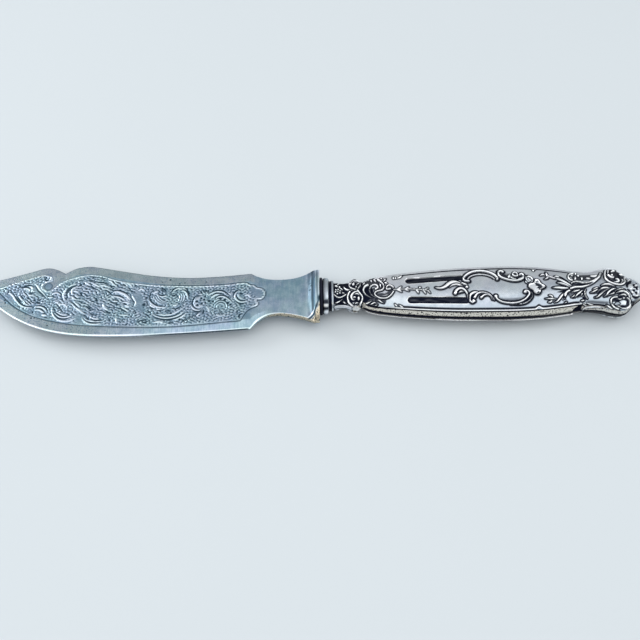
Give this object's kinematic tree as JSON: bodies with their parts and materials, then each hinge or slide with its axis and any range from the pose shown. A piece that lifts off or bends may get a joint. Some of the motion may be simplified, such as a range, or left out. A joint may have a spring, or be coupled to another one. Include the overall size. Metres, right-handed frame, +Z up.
{
  "type": "spreader knife",
  "caption": "Spreader knife with a broad notched blade, drawn-in neck and oval bolster flange, cemented into a hollow handle of two stamped halves with scroll relief.",
  "frame": {"origin": "bottom centre of the knife's box as it lies on a table, show side up", "axes": "+X along the knife from blade to handle, +Y from the cutting edge to the spine, +Z up out of the show side"},
  "size_m": [0.2, 0.024, 0.0088],
  "materials": {
    "worn_plate": "worn silver plate, fine scratches",
    "stamped_silver": "polished silver with dark oxide in the recesses",
    "dark_solder": "tarnished solder",
    "pitch_cement": "dull black pitch cement"
  },
  "bodies": {
    "root": {"blade": "worn_plate", "mouth_ferrule": "stamped_silver", "front_shell": "stamped_silver", "back_shell": "stamped_silver", "seam_solder": "dark_solder", "pitch_filling": "pitch_cement"}
  },
  "joints": []
}
